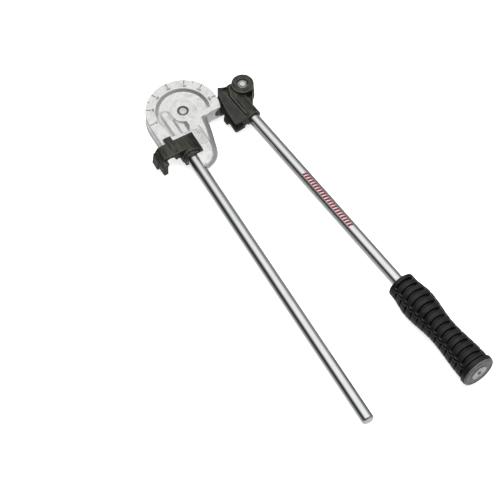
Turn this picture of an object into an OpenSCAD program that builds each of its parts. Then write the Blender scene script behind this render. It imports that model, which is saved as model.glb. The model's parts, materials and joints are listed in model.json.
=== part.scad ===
// Lever-type manual tube bender for 12 mm soft tube.
// Millimetres, +Z up. The origin is on the bending pivot, at the underside of the
// pivot pin's head. +X runs along the fixed handle, towards its free end. The plane
// that holds the tube and both handles is mid_z above the origin.

/* [Tube and former] */
// Outer diameter of the tube the tool bends
tube_d = 12; // [11.5:0.1:12.5]
// Bend radius at the centre of the tube
bend_r = 42; // [41:0.5:43]
// Thickness of the former
former_t = 19; // [18.4:0.2:19.6]
// Length of straight groove past the pivot
straight_l = 30; // [28:1:30]
// Radial clearance between tube and groove
groove_gap = 0.05; // [0.05:0.05:0.15]

/* [Fixed handle] */
// Diameter of both handle bars
bar_d = 14; // [13.6:0.1:14]
// Distance from the pivot to the axis of the fixed handle
fixed_y = -18.2; // [-19:0.1:-18]
// Distance from the pivot to the free end of the fixed handle
fixed_end = 434; // [300:1:480]

/* [Lever] */
// Bend angle at which the tool is stored
bend_angle = 173.5; // [165:0.5:180]
// Distance from the pivot to the lever's axis
lever_w = 61.6; // [61.5:0.1:62.2]
// Head pin, measured along the lever
head_u = 11; // [10:0.5:12]
// Head pin, measured square to the lever
head_w = 74.5; // [74:0.5:76]
// Mouth of the lever's socket
socket_end = 49.5; // [48:0.5:52]
// Start of the grip
grip_start = 317.5; // [240:1:340]
// Length of the grip
grip_l = 133; // [125:1:145]
// Number of finger grooves in the grip
groove_count = 14; // [8:1:15]

/* [Hook] */
// Near face of the hook's barrel
hook_x = 31.2; // [31.1:0.1:31.5]
// Radius of the hook's barrel
barrel_r = 11.9; // [11.5:0.1:12]
// Length of the barrel
barrel_l = 21.5; // [21:0.5:22]

/* [Running fits] */
// Radial clearance of each turning joint
run_gap = 0.05; // [0.02:0.01:0.1]

/* [Hidden] */
$fn = 96;

eps = 0.1;
mid_z = 17.5;
tube_r = tube_d / 2;
groove_r = tube_r + groove_gap;
bar_r = bar_d / 2;
half_t = former_t / 2;

// former
rim_r = bend_r + 0.5;
dish_r = bend_r - 11.1;
dish_slope = 3.2;
dish_x = 25.5;
dish_y = -28.5;
dish_d = 3.6;
dish_z = half_t - dish_d;
shoulder_x = 16.5;
shoulder_y = 19;
neck_end = 79;
notch_y = fixed_y + barrel_r + 0.3;
notch_x1 = 58.5;
pocket_d = 2.4;
hub_r = 14.7;
ridge_y = -20.2;
ridge_x = -5.6;
ridge_w = 3.75;
skirt_w = 3.4;
skirt_h = 1.9;
plate_h = 0.7;
edge_w = 6.6;
edge_drop = 5;
saddle_y = fixed_y + 3.2;
bar_in = -6;
stop_mark = [neck_end + 0.6, 0.6, 0.3];

// pivot stack, from the head of the pin upwards
pivot_r = 4.5;
pivot_head_t = 2.3;
link_z0 = pivot_head_t - mid_z;
link_t = 4.6;
link_z1 = link_z0 + link_t;
bush_wall = 1.6;
washer_gap = 0.15;
clip_t = 1.0;
pivot_top = half_t - 0.6;
recess_r = 6.4;

// head pin
head_pin_r = 4;
head_bush_r = 5.4;
boss_r = 12.8;
boss_z0 = -9.8;
boss_z1 = 13;
boss_recess = 2.4;
boss_recess_r = 6.9;

// lever
lever_rot = 180 - bend_angle;
socket_r = 10;
socket_start = 8;
bar_wall = 2;
bar_stop = 13;
shoe_w1 = 50.7;
shoe_t = 19;
shoe_core_w = 52.5;
shoe_core_t = 12;
lip_z = 6.8;
rib_z = 9.4;
tongue_u = [0, 11.5];
tongue_w = 57.4;
tongue_t = 6;
pin_r = 1.5;
shoe_pin_u = [3, 9];
shoe_pin_w = 55.1;
saddle_t = 13;
web_t = 17;

// grip
grip_end = grip_start + grip_l;
cap_t = 2.6;
cap_hole_r = 2.2;
grip_collar_r = 16;
grip_bulge_r = 19;
grip_waist_r = 15.5;
grip_flange_r = 20;
cap_edge = 0.7;
cap_boss_r = 9.5;
grip_groove_d = 0.9;

// Places a shape in the plane of the handles.
module at_mid() {
    translate([0, 0, mid_z]) children();
}

// Places a shape in the lever's own directions: u along the lever, w square to it.
module at_lever() {
    at_mid() rotate([0, 0, lever_rot]) children();
}

// A bar or bore along +X.
module bar_x(r, x0, x1) {
    translate([x0, 0, 0]) rotate([0, 90, 0]) cylinder(r = r, h = x1 - x0);
}

// A bar along +X with a bevel at its far end.
module bevel_bar_x(r, x0, x1, bevel) {
    rotate([0, 90, 0]) rotate_extrude()
        polygon([[0, x0], [r, x0], [r, x1 - bevel], [r - bevel, x1], [0, x1]]);
}

// A flat slab between two heights, from a flat outline.
module slab(z0, z1) {
    translate([0, 0, z0]) linear_extrude(height = z1 - z0) children();
}

// A round pin or bore on the vertical line through (x, y).
module post(x, y, r, z0, z1) {
    translate([x, y, z0]) cylinder(r = r, h = z1 - z0);
}

// A bevelled pin on the vertical line through (x, y).
module bevel_post(x, y, r, z0, z1, bevel) {
    translate([x, y, 0]) rotate_extrude()
        polygon([[0, z0], [r - bevel, z0], [r, z0 + bevel], [r, z1 - bevel], [r - bevel, z1], [0, z1]]);
}

// A flat ring on the vertical line through (x, y).
module ring(x, y, r_in, r_out, z0, z1) {
    translate([x, y, 0]) rotate_extrude()
        polygon([[r_in, z0], [r_out, z0], [r_out, z1], [r_in, z1]]);
}

// A split ring: a flat ring with a gap that faces the angle given.
module split_ring(r_in, r_out, t, gap, facing) {
    difference() {
        cylinder(r = r_out, h = t);
        translate([0, 0, -eps]) cylinder(r = r_in, h = t + 2 * eps);
        rotate([0, 0, facing]) translate([0, -gap / 2, -eps]) cube([r_out + 1, gap, t + 2 * eps]);
    }
}

// Outer edge of the neck and nose, from the shoulder to the end of the nose.
neck_edge = [[shoulder_x + 2.5, shoulder_y + 1], [26, 18.9], [38, 16.8], [48, 14], [58, 11.3],
             [64, 9.3], [69.5, 5.5], [74, -0.5], [77, -8], [neck_end, saddle_y]];

// Outline of the straight tail, neck and nose of the casting.
module neck_outline() {
    difference() {
        union() {
            translate([0, -rim_r]) square([straight_l, rim_r + shoulder_y]);
            polygon(concat([[shoulder_x - 4, saddle_y], [shoulder_x - 4, 27], [shoulder_x, 27]],
                           neck_edge));
        }
        translate([straight_l, notch_y - 60]) square([notch_x1 - straight_l, 60]);
    }
}

// The casting before its recesses. The tube's groove runs around the round rim,
// then straight along the tail.
module former_blank() {
    difference() {
        cylinder(r = rim_r, h = former_t, center = true);
        translate([0, -rim_r - 1, -former_t]) cube([rim_r + 1, rim_r + 1, 2 * former_t]);
        translate([shoulder_x, -1, -former_t]) cube([rim_r, rim_r + 2, 2 * former_t]);
        rotate_extrude() translate([bend_r, 0]) circle(r = groove_r);
    }
    difference() {
        slab(-half_t, half_t) neck_outline();
        translate([0, -bend_r, 0]) bar_x(groove_r, -1, straight_l + 1);
    }
}

// Bevel along one straight stretch of the neck's outer edge, from p to q.
module edge_bevel(p, q) {
    translate([p[0], p[1], 0]) rotate([0, 0, atan2(q[1] - p[1], q[0] - p[0])])
        along_x(-1, norm(q - p) + 1)
            polygon([[-edge_w, half_t + 0.01], [0.5, half_t - edge_drop], [4, half_t - edge_drop],
                     [4, half_t + 2], [-edge_w, half_t + 2]]);
}

// Shallow dish in a face of the former, between the hub and the rim.
module dish(depth) {
    difference() {
        union() {
            translate([0, 0, half_t - depth])
                cylinder(r1 = dish_r - dish_slope, r2 = dish_r + 0.1, h = depth + 0.1);
            slab(half_t - depth, half_t + eps)
                translate([0, dish_y]) square([dish_x, -dish_y]);
        }
        post(0, 0, hub_r, 0, half_t + 1);
        slab(0, half_t + 1)
            polygon([[5, -3], [5, 12], [9, 17], [11, 32], [60, 60], [60, -9], [30, -9], [25, -5], [20, -3]]);
    }
}

// Raised ridge over the end of the fixed handle: a bar with a rounded end on a sloping skirt.
module ridge() {
    translate([ridge_x, ridge_y, 0]) {
        ridge_l = dish_x - ridge_x + 0.5;
        post(0, 0, ridge_w, 0, half_t - 0.4);
        translate([0, -ridge_w, 0]) cube([ridge_l, 2 * ridge_w, half_t - 0.4]);
        translate([0, 0, dish_z - eps])
            cylinder(r1 = ridge_w + skirt_w, r2 = ridge_w, h = skirt_h + eps);
        along_x(0, ridge_l)
            polygon([[-ridge_w - skirt_w, dish_z - eps], [-ridge_w, dish_z + skirt_h],
                     [ridge_w, dish_z + skirt_h], [ridge_w + skirt_w, dish_z - eps]]);
    }
}

module former() color([0.83, 0.83, 0.84]) at_mid() difference() {
    union() {
        difference() {
            former_blank();
            dish(dish_d);
            mirror([0, 0, 1]) dish(pocket_d);
        }
        ridge();
        along_x(13.5, dish_x + 0.5)
            polygon([[-2.5, 0], [-2.5, half_t - 0.05], [-3, half_t - 0.05], [-7.4, dish_z - eps],
                     [-7.4, 0]]);
        slab(half_t - eps, half_t + plate_h) offset(r = 1.5, $fn = 32)
            polygon([[27.5, -3], [30.4, -4.4], [54, -4.4], [54, 4], [27.5, 4]]);
    }
    translate([0, fixed_y, 0]) bar_x(bar_r, bar_in, neck_end + 10);
    post(0, 0, pivot_r, -half_t - 1, half_t + 1);
    post(0, 0, recess_r, half_t - 2.2, half_t + 1);
    post(75, saddle_y + 2.2, pin_r, -half_t - 1, half_t + 1);
    post(4, fixed_y, pin_r, -half_t - 1, 0);
    nose_slope(62, 4);
    mirror([0, 0, 1]) nose_slope(42, 9);
    for (side = [0, 1]) mirror([0, 0, side]) {
        for (i = [0 : len(neck_edge) - 2]) edge_bevel(neck_edge[i], neck_edge[i + 1]);
    }
}

// Wedge that slopes the top of the nose down to drop, from x0 to the nose's end.
module nose_slope(x0, drop) {
    rotate([90, 0, 0]) translate([0, 0, -30]) linear_extrude(height = 60)
        polygon([[x0, half_t + 0.01], [neck_end + 2, half_t - drop], [neck_end + 2, half_t + 3],
                 [x0, half_t + 3]]);
}

module fixed_handle() color([0.78, 0.79, 0.8]) at_mid() difference() {
    translate([0, fixed_y, 0]) bevel_bar_x(bar_r, bar_in, fixed_end, 1.4);
    post(75, saddle_y + 2.2, pin_r, -half_t, half_t);
    post(4, fixed_y, pin_r, -half_t, 0);
    translate([hook_x + barrel_l + 3.6, fixed_y, 0]) rotate([0, 90, 0])
        ring(0, 0, bar_r - 0.8, bar_r + 1, 0, clip_t + 0.1);
    translate([stop_mark[0], fixed_y, 0]) rotate([0, 90, 0])
        ring(0, 0, bar_r - stop_mark[2], bar_r + 1, 0, stop_mark[1]);
}

module handle_pins() color([0.55, 0.55, 0.56]) at_mid() {
    bevel_post(75, saddle_y + 2.2, pin_r, 3 - half_t, half_t - 2.2, 0.3);
    bevel_post(4, fixed_y, pin_r, pocket_d - half_t, 0, 0.3);
}

module pivot_pin() color([0.8, 0.8, 0.8]) at_mid() difference() {
    rotate_extrude()
        polygon([[0, -mid_z], [7.2, -mid_z], [8, 0.8 - mid_z], [8, link_z0 - 0.02],
                 [pivot_r, link_z0 - 0.02], [pivot_r, pivot_top - 0.5], [pivot_r - 0.5, pivot_top],
                 [0, pivot_top]]);
    ring(0, 0, pivot_r - 0.5, pivot_r + 1, pivot_top - clip_t - 0.5, pivot_top - 0.45);
}

module pivot_clip() color([0.2, 0.2, 0.2]) at_mid()
    translate([0, 0, pivot_top - clip_t - 0.48])
        split_ring(pivot_r - 0.48, recess_r - 0.3, clip_t, 2.2, 315);

module pivot_washer() color([0.7, 0.7, 0.7]) at_mid()
    ring(0, 0, pivot_r, 9.5, link_z1 + washer_gap, -half_t);

// Side profile of the hook: a plate over the tube and a jaw down its outer side.
module hook_profile() {
    difference() {
        polygon([[fixed_y, 0], [fixed_y, barrel_r], [-46, barrel_r], [-49.5, barrel_r - 1.2],
                 [-52, barrel_r - 4.5], [-54.6, 1], [-55.2, -8], [-53.4, -12.6], [-48.3, -12.6],
                 [-48.3, -1], [-bend_r + tube_r + 0.1, -1], [-30, -0.5]]);
        translate([-bend_r, 0]) circle(r = groove_r + 0.2);
        translate([-bend_r - groove_r - 0.2, -13]) square([2 * groove_r + 0.2, 13]);
    }
}

// Extrudes a (y, z) profile along +X.
module along_x(x0, x1) {
    translate([x0, 0, 0]) rotate([90, 0, 90]) linear_extrude(height = x1 - x0) children();
}

module hook() color([0.1, 0.1, 0.1]) at_mid() difference() {
    union() {
        translate([0, fixed_y, 0]) bar_x(barrel_r, hook_x, hook_x + barrel_l);
        translate([0, fixed_y, 0]) bar_x(9.8, hook_x, hook_x + barrel_l + 3.4);
        along_x(hook_x, 48.5) hook_profile();
        along_x(48, 54) intersection() {
            hook_profile();
            translate([-60, -14]) square([13.5, 21]);
        }
        along_x(hook_x, 42.5)
            polygon([[-52, 6], [-55.2, 3], [-56.3, -4], [-57.1, -12], [-56, -13.6], [-50, -13.6], [-50, 6]]);
        slab(half_t + 0.2, barrel_r) translate([24.2, -39.2]) square([12, 9.5]);
        along_x(44, 55.5)
            polygon([[-19, -9], [-19, -10.6], [-25.8, -10.6], [-27, -9], [-27, -5], [-23, -5]]);
    }
    translate([0, fixed_y, 0]) bar_x(bar_r + run_gap, hook_x - 1, 60);
}

module hook_spring_washer() color([0.6, 0.6, 0.6]) at_mid()
    translate([straight_l + 0.1, fixed_y, 0]) rotate([0, 90, 0])
        ring(0, 0, bar_r + 0.1, 10, 0, hook_x - straight_l - 0.2);

module hook_clip() color([0.2, 0.2, 0.2]) at_mid()
    translate([hook_x + barrel_l + 3.65, fixed_y, 0]) rotate([0, 90, 0])
        split_ring(bar_r - 0.78, bar_r + 1.8, clip_t, 6, 0);

// Outline of the link under the former, from the pivot to the head pin.
module link_outline() {
    head_d = norm([head_u, head_w]);
    rotate([0, 0, atan2(head_w, head_u)]) {
        circle(r = 12.5);
        translate([head_d, 0]) circle(r = 11);
        polygon([[0, -12.4], [head_d, -10.9], [head_d, 10.9], [0, 12.4]]);
    }
}

module pivot_link() color([0.35, 0.36, 0.37]) at_lever() difference() {
    slab(link_z0 + 0.05, link_z1) link_outline();
    post(0, 0, pivot_r + bush_wall, link_z0 - 1, link_z1 + 1);
    post(head_u, head_w, head_pin_r, link_z0 - 1, link_z1 + 1);
}

module pivot_bush() color([0.72, 0.5, 0.2]) at_lever()
    ring(0, 0, pivot_r + run_gap, pivot_r + bush_wall, link_z0 + 0.1, link_z1);

module head_pin() color([0.8, 0.8, 0.8]) at_lever() difference() {
    translate([head_u, head_w, 0]) rotate_extrude()
        polygon([[0, link_z0 - 1.8], [7.4, link_z0 - 1.8], [8.2, link_z0 - 1], [8.2, link_z0 + 0.05],
                 [head_pin_r, link_z0 + 0.05], [head_pin_r, boss_z1 - 0.9],
                 [head_pin_r - 0.7, boss_z1 - 0.2], [0, boss_z1 - 0.2]]);
    ring(head_u, head_w, head_pin_r - 0.5, head_pin_r + 1, boss_z1 - 2.1, boss_z1 - 1.0);
}

module head_pin_clip() color([0.7, 0.7, 0.7]) at_lever()
    translate([head_u, head_w, boss_z1 - 2.05])
        split_ring(head_pin_r - 0.48, boss_recess_r - 1.2, clip_t, 2.6, 60);

module head_pin_washer() color([0.7, 0.7, 0.7]) at_lever()
    ring(head_u, head_w, head_pin_r, 10.5, link_z1, boss_z0 - washer_gap);

// Web that joins boss, socket and shoe, as a flat outline.
module head_web() {
    polygon([[-1, shoe_core_w], [-0.5, 60], [1, 66.5], [head_u - 12.5, head_w + 1],
             [head_u + 5.6, head_w + 11.4], [37.5, 69.5], [37.5, 62], [socket_end - 1, 60],
             [socket_end - 1, shoe_core_w]]);
}

// Tongue of the shoe, which sits in a slot of the lever's head.
module tongue() {
    slab(-tongue_t / 2, tongue_t / 2)
        translate([tongue_u[0], shoe_core_w - 1])
        square([tongue_u[1] - tongue_u[0], tongue_w + 1 - shoe_core_w]);
}

module lever_head() color([0.1, 0.1, 0.1]) at_lever() difference() {
    union() {
        translate([head_u, head_w, boss_z0]) cylinder(r1 = boss_r + 1, r2 = boss_r, h = boss_z1 - boss_z0);
        translate([0, lever_w, 0]) bar_x(socket_r, socket_start, socket_end);
        slab(-web_t / 2, web_t / 2) intersection() {
            head_web();
            translate([-5, 61]) square([60, 40]);
        }
        slab(-saddle_t / 2, saddle_t / 2) head_web();
        slab(-rib_z, rib_z)
            polygon([[3.8, 60.4], [4.6, 61.6], [11.3, 57.9], [16.2, 55.8], [44, 55.8], [44, 54.7],
                     [16, 54.7], [10.8, 56.8]]);
    }
    slab(4.2, 20) polygon([[0.4, 53.6], [1, 59.4], [3.2, 59.4], [10.4, 56], [14, 54.2], [14, 53.6]]);
    for (side = [0, 1]) mirror([0, 0, side]) slab(3, 20) difference() {
        polygon([[head_u + 13.6, head_w - 5], [34, 70.8], [head_u + 9, head_w + 7.2]]);
        translate([head_u, head_w]) circle(r = boss_r + 0.5);
    }
    post(head_u, head_w, head_bush_r, boss_z0 - 1, boss_z1 + 1);
    post(head_u, head_w, boss_recess_r, boss_z1 - boss_recess, boss_z1 + 1);
    translate([0, lever_w, 0]) bar_x(bar_r, bar_stop, socket_end + 1);
    slab(-12, 12) translate([-3, shoe_core_w - 20]) square([socket_end + 10, 20]);
    tongue();
    for (u = shoe_pin_u) post(u, shoe_pin_w, pin_r, -20, tongue_t / 2 + 1);
    post(30, lever_w, pin_r + 0.5, -20, bar_r);
}

module head_bush() color([0.72, 0.5, 0.2]) at_lever()
    ring(head_u, head_w, head_pin_r + run_gap, head_bush_r, boss_z0, boss_z1 - boss_recess);

// Outline of the shoe seen from above; its inner edge clears the former.
module shoe_outline(inner, back) {
    polygon([[-2.8, 49.6], [-1.6, 48.4], [10, 44], [25, inner + 2.4], [socket_end - 1.5, inner],
             [socket_end, inner + 1.5], [socket_end, back], [0, back], [-2.8, 50.8]]);
}

module slide_shoe() color([0.13, 0.13, 0.13]) at_lever() difference() {
    union() {
        slab(-shoe_t / 2, shoe_t / 2) shoe_outline(37.6, shoe_w1);
        slab(-shoe_core_t / 2, shoe_core_t / 2) {
            shoe_outline(37.6, shoe_core_w);
            polygon([[-2.8, 49.6], [-1.05, 49.6], [-1.05, 54.6], [-2.2, 54.6], [-2.8, 54]]);
        }
        for (side = [0, 1]) mirror([0, 0, side]) slab(lip_z, shoe_t / 2)
            polygon([[-2.8, 49.6], [-2.3, 50.6], [1.5, 57.6], [2.3, 57.6], [2.3, 50.5]]);
        tongue();
        slab(-shoe_t / 2, -groove_r - 0.2)
            polygon([[22.8, 40.8], [26.8, 36.9], [28.2, 35.8], [33.3, 35.4], [35, 36.4], [35, 42.4],
                     [22.8, 42.4]]);
    }
    translate([0, bend_r, 0]) bar_x(groove_r, -10, 60);
    slab(-groove_r, groove_r) translate([-10, 20]) square([70, bend_r - 20]);
    for (u = shoe_pin_u) post(u, shoe_pin_w, pin_r, -20, 20);
}

module shoe_pins() color([0.5, 0.5, 0.5]) at_lever()
    for (u = shoe_pin_u) bevel_post(u, shoe_pin_w, pin_r, 0.4 - saddle_t / 2, tongue_t / 2 + 0.8, 0.3);

module lever_tube() color([0.78, 0.79, 0.8]) at_lever() difference() {
    translate([0, lever_w, 0]) bar_x(bar_r, bar_stop, grip_end);
    translate([0, lever_w, 0]) bar_x(bar_r - bar_wall, bar_stop - 1, grip_end + 1);
    post(30, lever_w, pin_r + 0.5, -20, bar_r - 0.4);
}

module lever_tube_pin() color([0.5, 0.5, 0.5]) at_lever()
    bevel_post(30, lever_w, pin_r + 0.5, 0.6 - socket_r, bar_r - 0.4, 0.4);

// Radius of the grip at a fraction t of its length, without grooves.
function ease(a, b, t) = a + (b - a) * (1 - cos(180 * t)) / 2;
function grip_r(t) =
    t < 0.04 ? grip_collar_r :
    t < 0.23 ? ease(grip_collar_r, grip_bulge_r, (t - 0.04) / 0.19) :
    t < 0.55 ? ease(grip_bulge_r, grip_waist_r, (t - 0.23) / 0.32) :
    t < 0.96 ? ease(grip_waist_r, grip_flange_r, (t - 0.55) / 0.41) : grip_flange_r;

// Where the finger grooves lie, as fractions of the grip's length.
groove_at = [for (i = [0 : groove_count - 1]) 0.07 + i * 0.87 / (groove_count - 1)];

module grip() color([0.08, 0.08, 0.08]) at_lever()
    translate([0, lever_w, 0]) rotate([0, 90, 0]) rotate_extrude() {
        groove_t = 0.008;
        side = [for (t = groove_at)
                for (step = [[-1, 0], [-0.5, 1], [0.5, 1], [1, 0]])
                [grip_r(t) - step[1] * grip_groove_d, grip_start + grip_l * (t + step[0] * groove_t)]];
        polygon(concat([[bar_r, grip_start], [grip_collar_r - 1.5, grip_start],
                        [grip_collar_r, grip_start + 1.5]], side,
                       [[grip_flange_r, grip_start + 0.96 * grip_l], [grip_flange_r, grip_end - 0.8],
                        [grip_flange_r - 0.8, grip_end], [bar_r, grip_end]]));
    }

module grip_end_cap() color([0.45, 0.44, 0.46]) at_lever()
    translate([0, lever_w, 0]) rotate([0, 90, 0]) rotate_extrude()
        polygon([[cap_hole_r, grip_end - 10], [bar_r - bar_wall, grip_end - 10],
                 [bar_r - bar_wall, grip_end], [grip_flange_r - 0.6, grip_end],
                 [grip_flange_r - 0.6, grip_end + cap_t - 0.4 - cap_edge],
                 [grip_flange_r - 0.6 - cap_edge, grip_end + cap_t - 0.4],
                 [cap_boss_r + 0.4, grip_end + cap_t - 0.4], [cap_boss_r, grip_end + cap_t],
                 [cap_hole_r, grip_end + cap_t]]);

former();
fixed_handle();
handle_pins();
pivot_pin();
pivot_clip();
pivot_washer();
hook();
hook_spring_washer();
hook_clip();
pivot_link();
pivot_bush();
head_pin();
head_pin_clip();
head_pin_washer();
lever_head();
head_bush();
slide_shoe();
shoe_pins();
lever_tube();
lever_tube_pin();
grip();
grip_end_cap();
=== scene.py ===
"""Looks of a lever-type manual tube bender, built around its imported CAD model.

Lengths in the constants and profiles are millimetres; MM turns them into the scene's metres.
The floor, the light and the camera are placed in metres. The former, the hook and both bars are
centred on the plane z = MID_Z, and FACE_Z and PLATE_Z are heights above it. The lever's own frame
has u along the lever and w square to it.
"""

import json
import math

import bmesh
import bpy
import numpy as np
from mathutils import Matrix, Quaternion, Vector


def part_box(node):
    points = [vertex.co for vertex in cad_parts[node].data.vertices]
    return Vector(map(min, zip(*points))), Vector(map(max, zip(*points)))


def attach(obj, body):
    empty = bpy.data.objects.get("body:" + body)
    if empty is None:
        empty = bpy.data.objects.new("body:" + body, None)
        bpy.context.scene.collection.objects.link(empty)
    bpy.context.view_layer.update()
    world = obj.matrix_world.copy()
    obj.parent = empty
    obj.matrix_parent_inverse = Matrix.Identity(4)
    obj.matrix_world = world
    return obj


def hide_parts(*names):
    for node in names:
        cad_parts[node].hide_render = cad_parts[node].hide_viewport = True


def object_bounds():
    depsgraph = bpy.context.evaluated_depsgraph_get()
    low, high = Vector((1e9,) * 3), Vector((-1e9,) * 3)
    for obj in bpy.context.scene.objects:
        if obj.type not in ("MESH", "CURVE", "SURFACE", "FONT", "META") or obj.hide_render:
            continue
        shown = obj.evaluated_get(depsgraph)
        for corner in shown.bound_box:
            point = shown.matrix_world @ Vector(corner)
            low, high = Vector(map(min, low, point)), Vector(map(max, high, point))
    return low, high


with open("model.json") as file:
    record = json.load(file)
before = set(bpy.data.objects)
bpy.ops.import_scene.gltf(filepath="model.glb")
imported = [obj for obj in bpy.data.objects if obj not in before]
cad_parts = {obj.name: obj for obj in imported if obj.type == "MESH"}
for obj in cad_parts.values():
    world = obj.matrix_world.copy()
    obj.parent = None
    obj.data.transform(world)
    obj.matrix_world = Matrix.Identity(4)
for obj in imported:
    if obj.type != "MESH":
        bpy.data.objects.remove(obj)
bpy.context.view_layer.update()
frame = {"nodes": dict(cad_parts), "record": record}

MM = 0.001


def mount(name):
    """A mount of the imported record, by name."""
    return next(m for m in frame["record"]["mounts"] if m["name"] == name)


def span(node):
    """Lowest and highest corner of a CAD node, in mm."""
    low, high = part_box(node)
    return low / MM, high / MM


# ---------------------------------------------------------------- places read from the frame

shoe_axis = mount("shoe_seat")["axis"]
LEVER_TURN = math.atan2(-shoe_axis[1], -shoe_axis[0])
MID_Z = mount("handle_end")["pos_m"][2] / MM
FIXED_Y = mount("handle_end")["pos_m"][1] / MM
BAR_R = mount("handle_end")["dims"]["r_mm"]
# The former's dial face and rim, as in part.scad: half its thickness, and the bend radius plus 0.5.
FACE_Z = 9.5
RIM_R = 42.5

PLANE = Matrix.Translation((0, 0, MID_Z * MM))
LEVER = PLANE @ Matrix.Rotation(LEVER_TURN, 4, "Z")
ALONG_X = Matrix.Rotation(math.pi / 2, 4, "Y")


def in_lever(node):
    """Lowest and highest (u, w) of a CAD node in the lever's frame, in mm."""
    turn = LEVER.inverted()
    points = [(turn @ v.co) / MM for v in frame["nodes"][node].data.vertices]
    return (Vector(min(p[i] for p in points) for i in range(3)),
            Vector(max(p[i] for p in points) for i in range(3)))


GRIP_LOW, GRIP_HIGH = in_lever("grip")
LEVER_W = (GRIP_LOW.y + GRIP_HIGH.y) / 2
GRIP_START = GRIP_LOW.x
GRIP_END = GRIP_HIGH.x
FIXED_LOW, FIXED_HIGH = span("fixed_handle")

# ---------------------------------------------------------------- materials


class Finish:
    """A Principled material with helpers for its procedural detail."""

    def __init__(self, name, metallic=0.0, roughness=0.5, **sockets):
        self.material = bpy.data.materials.new(name)
        self.material.use_nodes = True
        self.tree = self.material.node_tree
        self.shader = self.tree.nodes["Principled BSDF"]
        self.shader.inputs["Metallic"].default_value = metallic
        self.shader.inputs["Roughness"].default_value = roughness
        for socket, value in sockets.items():
            self.shader.inputs[socket.replace("_", " ")].default_value = value
        self.place = self.node("ShaderNodeTexCoord").outputs["Object"]

    def node(self, kind, **values):
        made = self.tree.nodes.new(kind)
        for key, value in values.items():
            setattr(made, key, value)
        return made

    def link(self, a, b):
        self.tree.links.new(a, b)

    def stretched(self, scale, turn):
        """Object coordinates stretched along one direction, for drawn or brushed metal."""
        mapping = self.node("ShaderNodeMapping")
        mapping.inputs["Rotation"].default_value = (0, 0, turn)
        mapping.inputs["Scale"].default_value = scale
        self.link(self.place, mapping.inputs["Vector"])
        return mapping.outputs["Vector"]

    def noise(self, size_mm, detail, seed, rough=0.55, at=None):
        made = self.node("ShaderNodeTexNoise", noise_dimensions="4D")
        made.inputs["W"].default_value = seed
        made.inputs["Scale"].default_value = 1 / (size_mm * MM)
        made.inputs["Detail"].default_value = detail
        made.inputs["Roughness"].default_value = rough
        self.link(at or self.place, made.inputs["Vector"])
        return made.outputs["Fac"]

    def ramp(self, factor, stops):
        """A colour ramp from (position, colour) pairs."""
        made = self.node("ShaderNodeValToRGB")
        elements = made.color_ramp.elements
        while len(elements) < len(stops):
            elements.new(0.5)
        for element, (position, colour) in zip(elements, stops):
            element.position = position
            element.color = (*colour, 1)
        self.link(factor, made.inputs["Fac"])
        return made.outputs["Color"]

    def between(self, factor, low, high, start=0.35, end=0.65):
        """The factor spread from one value to another."""
        made = self.node("ShaderNodeMapRange")
        for socket, value in (("From Min", start), ("From Max", end),
                              ("To Min", low), ("To Max", high)):
            made.inputs[socket].default_value = value
        self.link(factor, made.inputs["Value"])
        return made.outputs["Result"]

    def multiply(self, a, b, amount=1.0):
        made = self.node("ShaderNodeMix", data_type="RGBA", blend_type="MULTIPLY")
        made.inputs["Factor"].default_value = amount
        self.link(a, made.inputs["A"])
        self.link(b, made.inputs["B"])
        return made.outputs["Result"]

    def mixed(self, factor, a, b):
        made = self.node("ShaderNodeMix", data_type="RGBA")
        self.link(factor, made.inputs["Factor"])
        self.link(a, made.inputs["A"])
        self.link(b, made.inputs["B"])
        return made.outputs["Result"]

    def edge_wear(self, low, high):
        """1 on convex edges, from the mesh's pointiness: where wear and a painted highlight are
        laid on.
        """
        geometry = self.node("ShaderNodeNewGeometry")
        return self.between(geometry.outputs["Pointiness"], 0, 1, low, high)

    def hollows(self, low, high):
        """Painted shade: dark in concave corners and grooves, and white elsewhere."""
        geometry = self.node("ShaderNodeNewGeometry")
        depth = self.between(geometry.outputs["Pointiness"], 0, 1, low, high)
        return self.ramp(depth, [(0.0, (0.05, 0.05, 0.05)), (1.0, (1, 1, 1))])

    def weathered(self, body, worn, edge, hollow):
        """The body's colour, worn and given a painted highlight on its convex edges, and darkened
        by painted shade in its concave corners.
        """
        self.colour(self.multiply(self.mixed(self.edge_wear(*edge), body, worn),
                                  self.hollows(*hollow)))

    def bump(self, height, depth_mm, strength, under=None):
        made = self.node("ShaderNodeBump")
        made.inputs["Strength"].default_value = strength
        made.inputs["Distance"].default_value = depth_mm * MM
        self.link(height, made.inputs["Height"])
        if under is not None:
            self.link(under, made.inputs["Normal"])
        return made.outputs["Normal"]

    def colour(self, output):
        self.link(output, self.shader.inputs["Base Color"])

    def roughness(self, output):
        self.link(output, self.shader.inputs["Roughness"])

    def normal(self, output):
        self.link(output, self.shader.inputs["Normal"])


# Pointiness at which wear and a painted highlight on an edge, and painted shade in a hollow, begin
# and end.
PAINT_EDGE = (0.508, 0.56)
PAINT_HOLLOW = (0.44, 0.495)
RUBBER_EDGE = (0.52, 0.60)
RUBBER_HOLLOW = (0.45, 0.50)


def cast_alloy(name, shade):
    """Shot-blasted aluminium casting: pale, finely grained and cloudy."""
    f = Finish(name, metallic=0.88)
    cloud = f.noise(6, detail=5, rough=0.65, seed=1)
    grain = f.noise(0.6, detail=3, seed=2)
    dull, fair, bright = (tuple(shade * c for c in colour) for colour in
                          ((0.69, 0.69, 0.69), (0.86, 0.86, 0.855), (0.93, 0.93, 0.92)))
    base = f.ramp(cloud, [(0.32, dull), (0.50, fair), (0.72, bright)])
    speck = f.ramp(grain, [(0.36, (0.72, 0.72, 0.70)), (0.56, (1, 1, 1))])
    f.colour(f.multiply(base, speck, 0.75))
    f.roughness(f.between(cloud, 0.40, 0.28))
    pits = f.bump(grain, 0.12, 0.6)
    f.normal(f.bump(f.noise(2.4, detail=3, seed=3), 0.40, 0.55, pits))
    return f.material


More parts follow.
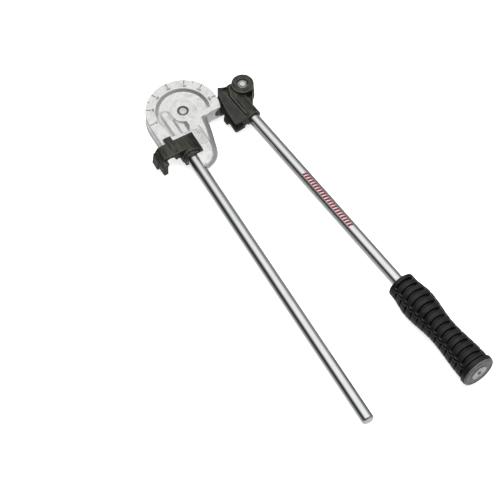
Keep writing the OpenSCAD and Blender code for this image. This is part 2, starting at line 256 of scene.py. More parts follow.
def dial_ink():
    """The casting's raised dial marks, in a dark grey with a fine grain."""
    f = Finish("dial_ink", metallic=0.4)
    grain = f.noise(0.5, detail=3, seed=4)
    f.colour(f.ramp(grain, [(0.3, (0.13, 0.13, 0.13)), (0.7, (0.30, 0.30, 0.28))]))
    f.roughness(f.between(grain, 0.4, 0.6))
    f.normal(f.bump(grain, 0.06, 0.5))
    return f.material


def chrome():
    """Polished bar with a very fine drawn grain and faint smudges."""
    f = Finish("chrome_bar", metallic=1.0)
    drawn = f.noise(0.35, detail=2, seed=5, at=f.stretched((0.02, 1, 1), -LEVER_TURN / 2))
    smudge = f.noise(14, detail=5, seed=6)
    f.colour(f.ramp(smudge, [(0.3, (0.78, 0.79, 0.80)), (0.7, (0.86, 0.865, 0.87))]))
    f.roughness(f.between(smudge, 0.09, 0.16))
    f.normal(f.bump(drawn, 0.012, 0.35))
    return f.material


def bright_steel(name, low, high, rough, seed):
    """Zinc plated or turned steel."""
    f = Finish(name, metallic=1.0)
    stain = f.noise(1.8, detail=4, seed=seed)
    f.colour(f.ramp(stain, [(0.3, low), (0.7, high)]))
    f.roughness(f.between(stain, rough, rough + 0.16))
    f.normal(f.bump(f.noise(0.25, detail=2, seed=seed + 0.5), 0.02, 0.4))
    return f.material


def black_paint(name, low, high, seed, gloss):
    """Satin black enamel over a rough casting, greenish grey where it catches light, with wear and
    a painted highlight on its edges and painted shade in its concave corners.
    """
    f = Finish(name, Specular_IOR_Level=0.46, Coat_Weight=0.1, Coat_Roughness=0.25)
    streaks = f.noise(2.6, detail=4, seed=seed, at=f.stretched((0.28, 1, 1), -0.4))
    grain = f.noise(0.8, detail=4, seed=seed + 1)
    body = f.ramp(streaks, [(0.36, low), (0.64, high)])
    # the pale edge colour: partly wear and partly a painted highlight
    worn = f.ramp(grain, [(0.0, (0.09, 0.091, 0.08)), (1.0, (0.22, 0.22, 0.195))])
    f.weathered(body, worn, PAINT_EDGE, PAINT_HOLLOW)
    f.roughness(f.between(streaks, gloss + 0.16, gloss))
    skin = f.bump(grain, 0.25, 0.8)
    f.normal(f.bump(f.noise(3.2, detail=3, seed=seed + 2), 0.9, 0.8, skin))
    return f.material


def shoe_polymer():
    """Dark glass-filled polymer with a moulded grain, with wear and a painted highlight on its
    edges and painted shade in its concave corners.
    """
    f = Finish("shoe_polymer", Specular_IOR_Level=0.5)
    cloud = f.noise(6, detail=4, seed=20)
    grain = f.noise(0.7, detail=3, seed=21)
    body = f.ramp(cloud, [(0.3, (0.005, 0.0054, 0.0045)), (0.7, (0.022, 0.0225, 0.0195))])
    # the pale edge colour: partly wear and partly a painted highlight
    worn = f.ramp(grain, [(0.0, (0.05, 0.05, 0.045)), (1.0, (0.12, 0.12, 0.11))])
    f.weathered(body, worn, PAINT_EDGE, PAINT_HOLLOW)
    f.roughness(f.between(grain, 0.40, 0.58))
    f.normal(f.bump(f.noise(3, detail=3, seed=22), 0.7, 0.7, f.bump(grain, 0.18, 0.7)))
    return f.material


def bronze():
    """Oil-stained sintered bronze."""
    f = Finish("bronze", metallic=1.0)
    grain = f.noise(0.6, detail=5, seed=24)
    f.colour(f.ramp(grain, [(0.3, (0.34, 0.20, 0.08)), (0.7, (0.58, 0.37, 0.16))]))
    f.roughness(f.between(grain, 0.32, 0.5))
    f.normal(f.bump(grain, 0.03, 0.5))
    return f.material


def grip_rubber():
    """Black rubber: satin, faintly dusty on the edges of its pads, where a highlight is also
    painted, and darkened by painted shade in its grooves.
    """
    f = Finish("grip_rubber", Specular_IOR_Level=0.42)
    cloud = f.noise(7, detail=4, seed=30)
    grain = f.noise(0.5, detail=3, seed=31)
    body = f.ramp(cloud, [(0.3, (0.002, 0.002, 0.002)), (0.7, (0.010, 0.010, 0.0096))])
    # the pale edge colour: a faint dusting together with a painted highlight
    dust_and_highlight = f.ramp(grain, [(0.0, (0.03, 0.03, 0.029)), (1.0, (0.13, 0.13, 0.126))])
    f.weathered(body, dust_and_highlight, RUBBER_EDGE, RUBBER_HOLLOW)
    f.roughness(f.between(grain, 0.30, 0.48))
    f.normal(f.bump(f.noise(2.2, detail=3, seed=32), 0.6, 0.7, f.bump(grain, 0.12, 0.7)))
    return f.material


def cap_plastic():
    """Glossy grey plastic with a touch of violet."""
    f = Finish("cap_plastic", Specular_IOR_Level=0.6, Coat_Weight=0.4, Coat_Roughness=0.12)
    cloud = f.noise(4, detail=4, seed=34)
    f.colour(f.ramp(cloud, [(0.3, (0.105, 0.100, 0.112)), (0.7, (0.165, 0.158, 0.175))]))
    f.roughness(f.between(cloud, 0.20, 0.32))
    f.normal(f.bump(f.noise(1.6, detail=3, seed=35), 0.03, 0.4))
    return f.material


def print_red():
    """Thin red printing on the lever, worn through in specks."""
    f = Finish("print_red")
    wear = f.noise(0.8, detail=4, seed=38)
    f.colour(f.ramp(wear, [(0.3, (0.15, 0.003, 0.011)), (0.7, (0.23, 0.007, 0.02))]))
    f.roughness(f.between(wear, 0.35, 0.5))
    f.normal(f.bump(wear, 0.01, 0.3))
    return f.material


def floor_paint():
    """Plain pale studio floor, lit softly from beneath like a light table."""
    f = Finish("floor_paint", roughness=0.9, Specular_IOR_Level=0.1)
    cloud = f.noise(240, detail=2, seed=40)
    f.colour(f.ramp(cloud, [(0.0, (0.93, 0.93, 0.93)), (1.0, (0.95, 0.95, 0.95))]))
    f.shader.inputs["Emission Color"].default_value = (1, 1, 1, 1)
    f.shader.inputs["Emission Strength"].default_value = 0.7
    return f.material


ALLOY = cast_alloy("cast_alloy", 1.0)
# a darker copy of the casting's alloy for the pips: painted shade
PIP_SHADE_ALLOY = cast_alloy("pip_shade_alloy", 0.82)
INK = dial_ink()
CHROME = chrome()
ZINC = bright_steel("zinc_steel", (0.60, 0.60, 0.60), (0.82, 0.82, 0.81), 0.22, 10)
GREY = bright_steel("grey_steel", (0.24, 0.24, 0.24), (0.42, 0.42, 0.41), 0.3, 11)
SPRING = bright_steel("spring_steel", (0.10, 0.10, 0.10), (0.22, 0.22, 0.22), 0.34, 12)
BLACK = black_paint("black_paint", (0.002, 0.0024, 0.0015), (0.031, 0.035, 0.022), 14, 0.36)
LINK = black_paint("link_paint", (0.006, 0.006, 0.0065), (0.020, 0.020, 0.021), 17, 0.45)
POLYMER = shoe_polymer()
BRONZE = bronze()
RUBBER = grip_rubber()
CAP = cap_plastic()
RED = print_red()

FINISHES = {
    "cast_alloy": ALLOY, "chrome_bar": CHROME, "zinc_steel": ZINC, "spring_steel": SPRING,
    "black_paint": BLACK, "link_paint": LINK, "shoe_polymer": POLYMER, "bronze": BRONZE,
    "grip_rubber": RUBBER, "cap_plastic": CAP,
}

# ---------------------------------------------------------------- making pieces

WELD = 2e-6  # metres; CAD vertices nearer than this are one
ON_AXIS = 1e-6
TURNED_SEGMENTS = 128
# How far a vertex goes towards its neighbours' average in one round.
RELAX_STEP = 0.6
FILLET_STEP = 0.7
# Faces nearer to flat than this are joined, and edges sharper than this are broken.
FLAT_ANGLE = math.radians(0.6)
BEVEL_ANGLE = math.radians(28)


def add(name, mesh, body, slot, finish=None, stands_for=()):
    """Puts a mesh in the scene as a piece that rides on a body."""
    made = bpy.data.objects.new(name, mesh)
    bpy.context.scene.collection.objects.link(made)
    mesh.materials.clear()
    mesh.materials.append(finish or FINISHES[slot])
    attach(made, body)
    if stands_for:
        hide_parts(*stands_for)
    return made


def welded_copy(node):
    """A copy of a CAD node's mesh with its doubled edges joined."""
    mesh = frame["nodes"][node].data.copy()
    bm = bmesh.new()
    bm.from_mesh(mesh)
    bmesh.ops.remove_doubles(bm, verts=bm.verts, dist=WELD)
    bm.to_mesh(mesh)
    bm.free()
    for name in [a.name for a in mesh.attributes if a.name == "custom_normal"]:
        mesh.attributes.remove(mesh.attributes[name])
    return mesh


def applied(mesh, *modifiers):
    """The mesh after the given modifiers, each a (kind, settings) pair."""
    holder = bpy.data.objects.new("holder", mesh)
    bpy.context.scene.collection.objects.link(holder)
    for kind, settings in modifiers:
        modifier = holder.modifiers.new(kind, kind)
        for key, value in settings.items():
            setattr(modifier, key, value)
    bpy.context.view_layer.update()
    shown = holder.evaluated_get(bpy.context.evaluated_depsgraph_get())
    result = bpy.data.meshes.new_from_object(shown)
    bpy.data.objects.remove(holder)
    return result


def relax(mesh, rounds, weight, extra):
    """Smooths a closed mesh, so that sharp edges turn round. Where weight is above 0, extra
    rounds follow, which makes a wider fillet there."""
    count = len(mesh.vertices)
    points = np.empty(count * 3)
    mesh.vertices.foreach_get("co", points)
    points = points.reshape(-1, 3)
    ends = np.empty(len(mesh.edges) * 2, dtype=np.int32)
    mesh.edges.foreach_get("vertices", ends)
    a, b = ends[0::2], ends[1::2]
    degree = np.bincount(a, minlength=count) + np.bincount(b, minlength=count)

    def average(p):
        total = np.empty_like(p)
        for i in range(3):
            total[:, i] = (np.bincount(a, p[b, i], count) + np.bincount(b, p[a, i], count))
        return total / degree[:, None]

    for _ in range(rounds):
        points += RELAX_STEP * (average(points) - points)
    if weight is not None:
        w = FILLET_STEP * weight(points)[:, None]
        for _ in range(extra):
            points += w * (average(points) - points)
    mesh.vertices.foreach_set("co", points.astype(np.float32).ravel())
    mesh.update()
    return mesh


def casting(name, node, body, slot, voxel, rounds, weight=None, extra=0):
    """A cast piece: the CAD node's shape with the rounded edges and corners of a casting."""
    skin = applied(welded_copy(node), ("REMESH", dict(mode="VOXEL", voxel_size=voxel * MM,
                                                      use_smooth_shade=True)))
    relax(skin, rounds, weight, extra)
    for face in skin.polygons:
        face.use_smooth = True
    return add(name, skin, body, slot, stands_for=[node])


def machined(name, node, body, slot, width, segments=2, finish=None):
    """A machined or pressed piece: the CAD node's shape with broken edges."""
    mesh = welded_copy(node)
    bm = bmesh.new()
    bm.from_mesh(mesh)
    bmesh.ops.dissolve_limit(bm, angle_limit=FLAT_ANGLE, verts=bm.verts, edges=bm.edges)
    bm.to_mesh(mesh)
    bm.free()
    made = applied(mesh, ("BEVEL", dict(width=width * MM, segments=segments,
                                        angle_limit=BEVEL_ANGLE,
                                        use_clamp_overlap=False, harden_normals=False)))
    for face in made.polygons:
        face.use_smooth = True
    made.set_sharp_from_angle(angle=math.radians(35))
    return add(name, made, body, slot, finish, [node])


def rounded(profile, radius, steps=3):
    """A closed outline with its corners rounded, except those on the axis."""
    made = []
    count = len(profile)
    for i in range(count):
        before, here, after = (Vector(profile[(i + k) % count]) for k in (-1, 0, 1))
        if here.x < ON_AXIS:
            made.append(tuple(here))
            continue
        a, b = before - here, after - here
        reach = min(radius, a.length * 0.45, b.length * 0.45)
        p, q = here + a.normalized() * reach, here + b.normalized() * reach
        for k in range(steps + 1):
            t = k / steps
            made.append(tuple(p * (1 - t) ** 2 + here * 2 * t * (1 - t) + q * t ** 2))
    return made


def lathe(profile, segments):
    """A closed solid turned round +Z, from an outline of (radius, height) in mm."""
    count = len(profile)
    turn = np.linspace(0, 2 * math.pi, segments, endpoint=False)
    radii = np.array([p[0] for p in profile])
    heights = np.array([p[1] for p in profile])
    x = np.outer(np.cos(turn), radii)
    y = np.outer(np.sin(turn), radii)
    z = np.broadcast_to(heights, x.shape)
    points = np.stack([x, y, z], axis=-1).reshape(-1, 3) * MM
    faces = []
    for s in range(segments):
        t = (s + 1) % segments
        for i in range(count):
            j = (i + 1) % count
            if radii[i] > ON_AXIS or radii[j] > ON_AXIS:
                faces.append((s * count + i, t * count + i, t * count + j, s * count + j))
    mesh = bpy.data.meshes.new("turned")
    mesh.from_pydata(points.tolist(), [], faces)
    bm = bmesh.new()
    bm.from_mesh(mesh)
    bmesh.ops.remove_doubles(bm, verts=bm.verts, dist=1e-6)
    bmesh.ops.recalc_face_normals(bm, faces=bm.faces)
    for face in bm.faces:
        face.smooth = True
    bm.to_mesh(mesh)
    bm.free()
    mesh.set_sharp_from_angle(angle=math.radians(32))
    return mesh


def turned(name, profile, place, body, slot, stands_for=()):
    """A piece turned from an outline, with its axis at the given place."""
    mesh = lathe(profile, TURNED_SEGMENTS)
    mesh.transform(place)
    if place.determinant() < 0:
        mesh.flip_normals()
    return add(name, mesh, body, slot, stands_for=stands_for)


def at(x, y, z=0.0):
    """A move in mm."""
    return Matrix.Translation((x * MM, y * MM, z * MM))


# ---------------------------------------------------------------- former and its dial

# The neck's outer edge as (x, y), and how far in from it the wide fillet reaches, as (x, reach).
NECK_EDGE = [(18, 22), (26, 18.9), (38, 16.8), (48, 14), (58, 11.3), (64, 9.3), (69.5, 5.5),
             (74, -0.5), (77, -8), (79, -15)]
FILLET_REACH = [(20, 6), (60, 8), (77, 11)]
FILLET_START = 17
FILLET_FADE = 6


def soft_edge(points):
    """1 along the neck's outer edge, where the casting has a wide fillet, and 0 elsewhere."""
    x, y = points[:, 0] / MM, points[:, 1] / MM
    inside = np.interp(x, *zip(*NECK_EDGE)) - y
    near = np.clip(1 - inside / np.interp(x, *zip(*FILLET_REACH)), 0, 1)
    start = np.clip((x - FILLET_START) / FILLET_FADE, 0, 1)
    return near * start


casting("former_casting", "former", "frame", "cast_alloy", 0.5, 3, weight=soft_edge, extra=70)


def raised_text(body, size, x, y, z, turn, height):
    """A numeral as a mesh, standing on the height z and turned in the dial's plane."""
    curve = bpy.data.curves.new("numeral", "FONT")
    curve.body = body
    curve.size = size * MM
    curve.extrude = height / 2 * MM
    curve.bevel_depth = NUMERAL_BEVEL * MM
    curve.bevel_resolution = 1
    curve.resolution_u = 3
    curve.align_x = "CENTER"
    curve.align_y = "CENTER"
    holder = bpy.data.objects.new("numeral", curve)
    bpy.context.scene.collection.objects.link(holder)
    bpy.context.view_layer.update()
    mesh = bpy.data.meshes.new_from_object(
        holder.evaluated_get(bpy.context.evaluated_depsgraph_get()))
    bpy.data.objects.remove(holder)
    mesh.transform(PLANE @ at(x, y, z + height / 2) @ Matrix.Rotation(turn, 4, "Z"))
    return mesh


def block(length, width, height, place):
    """A bevelled bar, centred on its place."""
    mesh = bpy.data.meshes.new("block")
    bm = bmesh.new()
    bmesh.ops.create_cube(bm, size=1)
    bmesh.ops.scale(bm, vec=(length * MM, width * MM, height * MM), verts=bm.verts)
    bmesh.ops.bevel(bm, geom=bm.edges, offset=TICK_BEVEL * MM, segments=2, affect="EDGES",
                    clamp_overlap=True)
    bm.to_mesh(mesh)
    bm.free()
    mesh.transform(place)
    return mesh


def joined(meshes):
    """Several meshes as one."""
    bm = bmesh.new()
    for mesh in meshes:
        bm.from_mesh(mesh)
    made = bpy.data.meshes.new("joined")
    bm.to_mesh(made)
    bm.free()
    return made


# The dial reads 0 where the straight groove meets the rim, and grows round the rim.
DIAL_ZERO = 270
DIAL_STEP = 30
DIAL_END = 180
SHORT_TICKS = (45, 135)
TICK_INNER_R = RIM_R - 6.4
TICK_OUTER_R = RIM_R - 1.0
SHORT_TICK_CUT = 3.2
TICK_W = 1.05
TICK_BEVEL = 0.15
TICK_LIFT = 0.1
MARK_T = 0.3
NUMERAL_R = RIM_R - 9.0
NUMERAL_SIZE = 3.9
NUMERAL_SINK = 0.05
NUMERAL_BEVEL = 0.06

marks = []
for value in range(0, DIAL_END + 1, DIAL_STEP // 2):
    full = value % DIAL_STEP == 0
    if not full and value not in SHORT_TICKS:
        continue
    angle = math.radians(DIAL_ZERO - value)
    turn = Matrix.Rotation(angle, 4, "Z")
    inner = TICK_INNER_R if full else TICK_INNER_R + SHORT_TICK_CUT
    tick_r = (inner + TICK_OUTER_R) / 2
    marks.append(block(TICK_OUTER_R - inner, TICK_W, MARK_T,
                       PLANE @ turn @ at(tick_r, 0, FACE_Z + TICK_LIFT)))
    if full:
        marks.append(raised_text(str(value), NUMERAL_SIZE, NUMERAL_R * math.cos(angle),
                                 NUMERAL_R * math.sin(angle), FACE_Z - NUMERAL_SINK,
                                 angle - math.pi / 2, MARK_T))
add("dial_marks", joined(marks), "frame", "cast_alloy", INK)

# The plate on the neck carries a plain field of cast pips, in a darker copy of the alloy that
# paints shade among them.
PLATE_Z = FACE_Z + 0.68
PIP_R = 0.75
PIP_HEIGHT = 0.5
PIP_PITCH = 2.3
PIP_ROWS = 4
PIP_COLUMNS = 10
PIP_X = 29.6
PIP_Y = -3.4


def pip(x, y):
    """A low dome on the neck's plate."""
    mesh = bpy.data.meshes.new("pip")
    bm = bmesh.new()
    bmesh.ops.create_uvsphere(bm, u_segments=12, v_segments=8, radius=1)
    bmesh.ops.scale(bm, vec=(PIP_R * MM, PIP_R * MM, PIP_HEIGHT * MM), verts=bm.verts)
    bm.to_mesh(mesh)
    bm.free()
    mesh.transform(PLANE @ at(x, y, PLATE_Z))
    return mesh


plate_pips = joined([pip(PIP_X + PIP_PITCH * column, PIP_Y + PIP_PITCH * row)
                     for row in range(PIP_ROWS) for column in range(PIP_COLUMNS)])
for face in plate_pips.polygons:
    face.use_smooth = True
add("plate_pips", plate_pips, "frame", "cast_alloy", PIP_SHADE_ALLOY)

# ---------------------------------------------------------------- fixed handle


def bar_profile(r, x0, x1, bevel):
    """Outline of a plain bar whose far end is chamfered."""
    return [(0, x0), (r, x0), (r, x1 - bevel), (r - bevel, x1), (0, x1)]


turned("fixed_bar", rounded(bar_profile(BAR_R, FIXED_LOW.x, FIXED_HIGH.x, 1.4), 0.5),
       PLANE @ at(0, FIXED_Y) @ ALONG_X, "frame", "chrome_bar", ["fixed_handle"])
machined("roll_pins", "handle_pins", "frame", "zinc_steel", 0.12)

# ---------------------------------------------------------------- pivot and hook

machined("pivot_pin_turned", "pivot_pin", "frame", "zinc_steel", 0.15)
machined("pivot_circlip", "pivot_clip", "frame", "spring_steel", 0.15)
machined("pivot_washer_flat", "pivot_washer", "frame", "zinc_steel", 0.1)
casting("hook_casting", "hook", "tube_hook", "black_paint", 0.4, 4)
machined("spring_washer", "hook_spring_washer", "frame", "spring_steel", 0.12)
machined("hook_circlip", "hook_clip", "frame", "spring_steel", 0.15)

# ---------------------------------------------------------------- link and head

machined("link_plate", "pivot_link", "link", "link_paint", 0.5, 3)
machined("pivot_bushing", "pivot_bush", "link", "bronze", 0.12)
machined("head_pin_turned", "head_pin", "link", "zinc_steel", 0.15)
# the head's circlip takes a darker grey than the zinc steel: painted shade for the dark ring in the
# pin's recess
machined("head_circlip", "head_pin_clip", "link", "zinc_steel", 0.15, finish=GREY)
machined("head_washer", "head_pin_washer", "link", "zinc_steel", 0.1)
casting("head_casting", "lever_head", "lever", "black_paint", 0.4, 4)
machined("head_bushing", "head_bush", "lever", "bronze", 0.12)
casting("shoe_moulding", "slide_shoe", "lever", "shoe_polymer", 0.4, 3)
machined("shoe_roll_pins", "shoe_pins", "lever", "zinc_steel", 0.12)

# ---------------------------------------------------------------- lever tube, grip and cap

TUBE_LOW, TUBE_HIGH = in_lever("lever_tube")
TUBE_WALL = 2
LEVER_AXIS = LEVER @ at(0, LEVER_W) @ ALONG_X
turned("lever_bar", rounded([(BAR_R - TUBE_WALL, TUBE_LOW.x), (BAR_R, TUBE_LOW.x),
                             (BAR_R, TUBE_HIGH.x), (BAR_R - TUBE_WALL, TUBE_HIGH.x)], 0.4),
       LEVER_AXIS, "lever", "chrome_bar", ["lever_tube"])
machined("lever_cross_pin", "lever_tube_pin", "lever", "zinc_steel", 0.15)

PRINT_RISE = 0.03
PRINT_SINK = 0.05


def dashes(first, last, pitch, length, width, slant, facing):
    """A row of plain slanted dashes, wrapped on the lever and standing a hair above it."""
    outer, inner = BAR_R + PRINT_RISE, BAR_R - PRINT_SINK
    steps = 7
    points, faces = [], []
    for start in np.arange(first, last, pitch):
        base = len(points)
        for k in range(steps):
            across = (k / (steps - 1) - 0.5) * width
            angle = facing + across / BAR_R
            for along in (start + slant * across, start + length + slant * across):
                for r in (outer, inner):
                    points.append((along, r * math.cos(angle), r * math.sin(angle)))
        for k in range(steps - 1):
            a = base + 4 * k
            faces += [(a, a + 4, a + 6, a + 2), (a + 1, a + 3, a + 7, a + 5),
                      (a, a + 1, a + 5, a + 4), (a + 2, a + 6, a + 7, a + 3)]
        end = base + 4 * (steps - 1)
        faces += [(base, base + 2, base + 3, base + 1), (end, end + 1, end + 3, end + 2)]
    mesh = bpy.data.meshes.new("dashes")
    mesh.from_pydata((np.array(points) * MM).tolist(), [], faces)
    mesh.transform(LEVER @ at(0, LEVER_W))
    bm = bmesh.new()
    bm.from_mesh(mesh)
    bmesh.ops.recalc_face_normals(bm, faces=bm.faces)
    bm.to_mesh(mesh)
    bm.free()
    return mesh


add("lever_marking",
    dashes(first=146, last=232, pitch=4.1, length=2.7, width=5.6, slant=-0.35,
           facing=math.radians(96)),
    "lever", "chrome_bar", RED)

COLLAR_R, BULGE_R, WAIST_R, NECK_R, FLANGE_R = 16.0, 19.0, 15.5, 18.6, 20.0
GRIP_LENGTH = GRIP_END - GRIP_START
# The grip swells and narrows in stages: radius before and after, start and length of the change
# as fractions of the grip.
GRIP_STAGES = [(COLLAR_R, BULGE_R, 0.04, 0.19), (BULGE_R, WAIST_R, 0.23, 0.32),
               (WAIST_R, NECK_R, 0.55, 0.38)]


def grip_radius(t):
    """Radius of the grip's pads at the fraction t of its length."""
    r = COLLAR_R
    for before, after, start, length in GRIP_STAGES:
        change = (1 - np.cos(np.pi * np.clip((t - start) / length, 0, 1))) / 2
        r = np.where(t > start, before + (after - before) * change, r)
    return r


def plateau(x, half, soft):
    """1 within half of 0, falling smoothly to 0 over soft."""
    s = np.clip((half + soft - np.abs(x)) / soft, 0, 1)
    return s * s * (3 - 2 * s)


def end_round(s):
    """How far a rounded end falls away, from 1 at the end (s = 0) to 0 where it is full (s = 1)."""
    return 1 - np.sqrt(1 - (1 - np.clip(s, 0, 1)) ** 2)


PAD_PITCH = 9.5
PAD_FIRST = 6.5
PAD_SPAN = 0.53  # as a fraction of the way from the middle of the top to the middle of a side
TOP = math.radians(92)
PLAIN_FRONT = 4.5
PLAIN_BACK = 1.5
PATTERN_FADE = 1.0
GROOVE_DEPTH = 3.1
GROOVE_SOFT = 0.8
LENS_END = 0.4  # half width of a top groove at its ends
LENS_SWELL = 1.4  # and what its middle adds
LENS_REACH = 0.92  # where a top groove starts to close, as a share of PAD_SPAN
LENS_FADE = 0.06
CHANNEL_DEPTH = 2.6
CHANNEL_GAP = 0.06
CHANNEL_HALF = 0.03
CHANNEL_SOFT = 0.03
SCALLOP = 0.022
SIDE_HALF = 0.7
SIDE_REACH = 0.34
SIDE_FADE = 0.05
SIDE_SHARE = 0.85  # depth of a side groove as a share of a top groove's
CROWN = 0.9
FLANGE_T = 5.6
FLANGE_FALL = 1.2
FLANGE_LENGTH = 0.8
NECK_GROOVE = 2.4
NECK_GROOVE_AT = 0.9
NECK_GROOVE_HALF = 0.35
NECK_GROOVE_SOFT = 0.6
FRONT_ROUND, FRONT_LENGTH = 1.6, 1.6
BACK_ROUND, BACK_LENGTH = 0.9, 0.9


def grip_mesh():
    """The rubber grip: raised pads above and below, a channel along each side with its own
    row of pads, a smooth collar in front and a flange behind."""
    steps_u, steps_v = 640, 260
    u = np.linspace(0, GRIP_LENGTH, steps_u)[:, None]
    v = np.linspace(0, 2 * math.pi, steps_v, endpoint=False)[None, :]
    base = grip_radius(u / GRIP_LENGTH) + 0 * v
    # 0 in the middle of the upper and lower faces, and 1 in the middle of each side
    side = np.abs(((v - TOP) / math.pi + 0.5) % 1.0 - 0.5) * 2
    phase = (u - PAD_FIRST) / PAD_PITCH
    last = GRIP_LENGTH - FLANGE_T - PLAIN_BACK
    live = (np.clip((u - PLAIN_FRONT) / PATTERN_FADE, 0, 1)
            * np.clip((last - u) / PATTERN_FADE, 0, 1))
    # lens-shaped grooves across the top: widest at the middle, closing before the channel
    lens = np.sqrt(np.clip(1 - (side / PAD_SPAN) ** 2, 0, 1))
    near = (phase - np.round(phase)) * PAD_PITCH
    top_groove = (plateau(near, LENS_END + LENS_SWELL * lens, GROOVE_SOFT)
                  * plateau(side, PAD_SPAN * LENS_REACH, LENS_FADE))
    # the channel that bounds the pads, scalloped round each pad's end
    scallop = SCALLOP * np.cos(2 * math.pi * phase)
    channel = plateau(side - (PAD_SPAN + CHANNEL_GAP + scallop), CHANNEL_HALF, CHANNEL_SOFT)
    # the side strip's own grooves, half a pitch off
    near_side = (phase + 0.5 - np.round(phase + 0.5)) * PAD_PITCH
    side_groove = (plateau(near_side, SIDE_HALF, GROOVE_SOFT)
                   * plateau(1 - side, SIDE_REACH, SIDE_FADE))
    depth = GROOVE_DEPTH * np.maximum(top_groove, SIDE_SHARE * side_groove)
    depth = np.maximum(depth, CHANNEL_DEPTH * channel) * live
    # pads are crowned between their grooves
    crown = CROWN * np.abs(2 * (phase - np.floor(phase)) - 1) ** 2 * live
    r = base - depth - crown * (side < PAD_SPAN)
    # the flange behind, with a groove in front of it
    from_flange = u - (GRIP_LENGTH - FLANGE_T)
    fall = FLANGE_FALL * (1 - np.clip(from_flange / FLANGE_LENGTH, 0, 1)) ** 2
    r = np.where(from_flange > 0, FLANGE_R - fall, r)
    r = r - NECK_GROOVE * plateau(from_flange + NECK_GROOVE_AT, NECK_GROOVE_HALF,
                                  NECK_GROOVE_SOFT)
    # rounded front and back ends
    r = (r - FRONT_ROUND * end_round(u / FRONT_LENGTH)
         - BACK_ROUND * end_round((GRIP_LENGTH - u) / BACK_LENGTH))
    y, z = r * np.cos(v), r * np.sin(v)
    outer = np.stack([u + 0 * v, y, z], axis=-1).reshape(-1, 3)
    ring = np.stack([0 * v, BAR_R * np.cos(v), BAR_R * np.sin(v)], axis=-1).reshape(-1, 3)
    points = np.vstack([outer, ring, ring + (GRIP_LENGTH, 0, 0)])
    index = np.arange(steps_u * steps_v).reshape(steps_u, steps_v)
    near_ring = steps_u * steps_v + np.arange(steps_v)
    rows = np.vstack([near_ring[None], index, near_ring[None] + steps_v, near_ring[None]])
    a, b = rows[:-1], rows[1:]
    faces = np.stack([a, np.roll(a, -1, 1), np.roll(b, -1, 1), b], axis=-1).reshape(-1, 4)
    mesh = bpy.data.meshes.new("grip")
    mesh.from_pydata((points * MM).tolist(), [], faces.tolist())
    mesh.transform(LEVER @ at(GRIP_START, LEVER_W))
    bm = bmesh.new()
    bm.from_mesh(mesh)
    bmesh.ops.recalc_face_normals(bm, faces=bm.faces)
    bm.to_mesh(mesh)
    bm.free()
    for face in mesh.polygons:
        face.use_smooth = True
    mesh.set_sharp_from_angle(angle=math.radians(60))
    return mesh


add("grip_sleeve", grip_mesh(), "lever", "grip_rubber", stands_for=["grip"])

CAP_R = FLANGE_R - 0.6
CAP_T = 2.6
CAP_PLUG = 10
CAP_HOLE_R = 2.2
CAP_CAVITY_R = 4.2
CAP_BOSS_R = 9.5
CAP_INSERT_R = CAP_BOSS_R - 0.05
# Heights along the lever: the face, the shoulder outside the rim, the rim, the trough inside it,
# the bead round the insert, the insert's seat and its dished middle.
CAP_FACE = GRIP_END + CAP_T
CAP_SHOULDER = CAP_FACE - 1.4
CAP_RIM = CAP_FACE - 0.4
CAP_TROUGH = CAP_FACE - 0.9
CAP_BEAD = CAP_FACE - 0.3
CAP_SEAT = CAP_FACE - 1.4
CAP_DISH = CAP_FACE - 0.5
cap_outline = [
    (CAP_CAVITY_R, GRIP_END - CAP_PLUG), (BAR_R - TUBE_WALL, GRIP_END - CAP_PLUG),
    (BAR_R - TUBE_WALL, GRIP_END), (CAP_R, GRIP_END), (CAP_R, CAP_SHOULDER),
    (CAP_R - 1.3, CAP_RIM), (CAP_R - 3.2, CAP_RIM), (CAP_R - 3.8, CAP_TROUGH),
    (CAP_BOSS_R + 0.9, CAP_TROUGH), (CAP_BOSS_R + 0.6, CAP_BEAD), (CAP_BOSS_R, CAP_BEAD),
    (CAP_BOSS_R, CAP_SEAT), (CAP_CAVITY_R, CAP_SEAT),
]
turned("end_cap", rounded(cap_outline, 0.3, 4), LEVER_AXIS, "lever", "cap_plastic",
       ["grip_end_cap"])
insert_outline = [
    (CAP_HOLE_R, CAP_FACE - 0.8), (CAP_CAVITY_R, CAP_FACE - 1.1),
    (CAP_CAVITY_R, CAP_SEAT), (CAP_INSERT_R, CAP_SEAT), (CAP_INSERT_R, CAP_FACE - 0.2),
    (CAP_BOSS_R - 1.6, CAP_FACE), (CAP_BOSS_R - 2.2, CAP_DISH), (CAP_HOLE_R + 1.9, CAP_DISH),
    (CAP_HOLE_R + 1.3, CAP_FACE), (CAP_HOLE_R, CAP_FACE - 0.1),
]
turned("end_cap_insert", rounded(insert_outline, 0.2), LEVER_AXIS, "lever", "zinc_steel")

# ---------------------------------------------------------------- floor, lights, camera

low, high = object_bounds()
FLOOR_SIZE = 9.0
FLOOR_X = 0.2
FLOOR_GAP = 0.0002
floor_mesh = bpy.data.meshes.new("floor")
bm = bmesh.new()
bmesh.ops.create_grid(bm, x_segments=8, y_segments=8, size=FLOOR_SIZE / 2)
bm.to_mesh(floor_mesh)
bm.free()
floor_mesh.materials.append(floor_paint())
floor = bpy.data.objects.new("floor", floor_mesh)
floor.location = (FLOOR_X, 0, low.z - FLOOR_GAP)
# the object is lit and mirrored by the studio alone, not by the glowing floor
floor.visible_glossy = False
floor.visible_diffuse = False
bpy.context.scene.collection.objects.link(floor)

# Brightness of the surroundings against height, from straight down at -1 to straight up at 1.
FLAG_SIDE = [(-1, 0.68), (-0.5, 0.48), (-0.2, 0.18), (0, 0.045), (0.3, 0.025), (0.47, 0.07),
             (0.64, 0.33), (0.77, 0.85), (0.86, 1)]
WALL_SIDE = [(-1, 0.60), (-0.44, 0.34), (-0.03, 0.20), (0.28, 0.21), (0.52, 0.35), (0.70, 0.69),
             (0.81, 0.95), (0.9, 1)]
CEILING_TILT = (0.055, -0.145)
WALL_BLEND = 0.35
PANEL_X = (-0.70, -0.88)
PANEL_Z = (-0.02, 0.10)


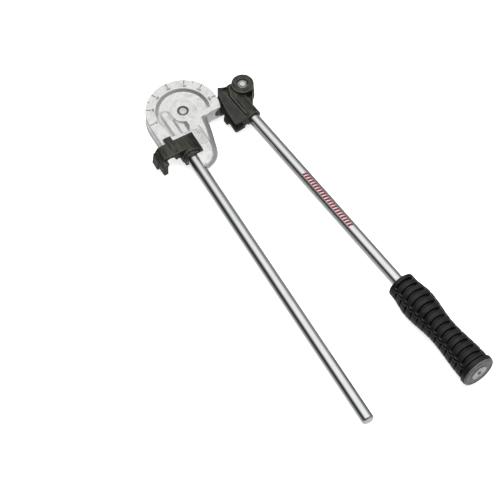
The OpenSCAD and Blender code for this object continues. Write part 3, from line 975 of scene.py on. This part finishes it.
def sky():
    """A studio round the object: bright above, dark flags on the camera's side, a pale wall on
    the other, a bright panel behind, and white where the camera looks past the floor."""
    world = bpy.data.worlds.new("studio")
    world.use_nodes = True
    bpy.context.scene.world = world
    tree = world.node_tree
    background = tree.nodes["Background"]
    place = tree.nodes.new("ShaderNodeTexCoord")
    split = tree.nodes.new("ShaderNodeSeparateXYZ")
    tree.links.new(place.outputs["Generated"], split.inputs["Vector"])

    def spread(value, low_end, high_end, to_low, to_high, kind="LINEAR"):
        node = tree.nodes.new("ShaderNodeMapRange")
        node.interpolation_type = kind
        for socket, number in (("From Min", low_end), ("From Max", high_end),
                               ("To Min", to_low), ("To Max", to_high)):
            node.inputs[socket].default_value = number
        tree.links.new(value, node.inputs["Value"])
        return node.outputs["Result"]

    def maths(kind, a, b):
        node = tree.nodes.new("ShaderNodeMath")
        node.operation = kind
        tree.links.new(a, node.inputs[0])
        tree.links.new(b, node.inputs[1])
        return node.outputs["Value"]

    def blend(factor, a, b):
        node = tree.nodes.new("ShaderNodeMix")
        tree.links.new(factor, node.inputs["Factor"])
        tree.links.new(a, node.inputs["A"])
        if isinstance(b, float):
            node.inputs["B"].default_value = b
        else:
            tree.links.new(b, node.inputs["B"])
        return node.outputs["Result"]

    def gradient(height, stops):
        node = tree.nodes.new("ShaderNodeValToRGB")
        elements = node.color_ramp.elements
        while len(elements) < len(stops):
            elements.new(0.5)
        for element, (z, level) in zip(elements, stops):
            element.position = (z + 1) / 2
            element.color = (level, level, level, 1)
        tree.links.new(height, node.inputs["Fac"])
        return node.outputs["Color"]

    # the ceiling's edge is higher on the camera's side
    tilt = spread(split.outputs["X"], -1, 1, *CEILING_TILT)
    height = spread(maths("ADD", split.outputs["Z"], tilt), -1, 1, 0, 1)
    dark = gradient(height, FLAG_SIDE)
    pale = gradient(height, WALL_SIDE)
    side = spread(split.outputs["Y"], -WALL_BLEND, WALL_BLEND, 0, 1, "SMOOTHSTEP")
    walls = blend(side, dark, pale)
    panel = maths("MULTIPLY", spread(split.outputs["X"], *PANEL_X, 0, 1, "SMOOTHSTEP"),
                  spread(split.outputs["Z"], *PANEL_Z, 0, 1, "SMOOTHSTEP"))
    seen = blend(panel, walls, 1.0)
    rays = tree.nodes.new("ShaderNodeLightPath")
    tree.links.new(blend(rays.outputs["Is Camera Ray"], seen, 1.0), background.inputs["Strength"])
    background.inputs["Color"].default_value = (1, 1, 1, 1)


sky()


def soft_light(name, location, target, size, energy):
    """A broad light that fills the shadows without showing in polished surfaces."""
    data = bpy.data.lights.new(name, "AREA")
    data.shape = "DISK"
    data.size = size
    data.energy = energy
    made = bpy.data.objects.new(name, data)
    made.location = location
    made.rotation_euler = (Vector(target) - Vector(location)).to_track_quat("-Z", "Y").to_euler()
    made.visible_glossy = False
    bpy.context.scene.collection.objects.link(made)


middle = (low + high) / 2
soft_light("overhead", location=(0.1, 0.3, 2.8), target=middle, size=3.0, energy=88)

# The photograph's viewing angle.
TARGET = Vector((0.1915, -0.0225, MID_Z * MM))
EYE = Vector((1.3834, -0.7059, 2.2333 + MID_Z * MM))
ROLL = 0.004
camera_data = bpy.data.cameras.new("camera")
camera_data.lens = 173.9
camera_data.sensor_width = 36
camera_data.clip_start = 0.05
camera_data.clip_end = 30
camera = bpy.data.objects.new("camera", camera_data)
camera.location = EYE
camera.rotation_mode = "QUATERNION"
camera.rotation_quaternion = ((TARGET - EYE).to_track_quat("-Z", "Y")
                              @ Quaternion((0, 0, 1), ROLL))
bpy.context.scene.collection.objects.link(camera)
bpy.context.scene.camera = camera
bpy.context.scene.view_settings.view_transform = "Standard"
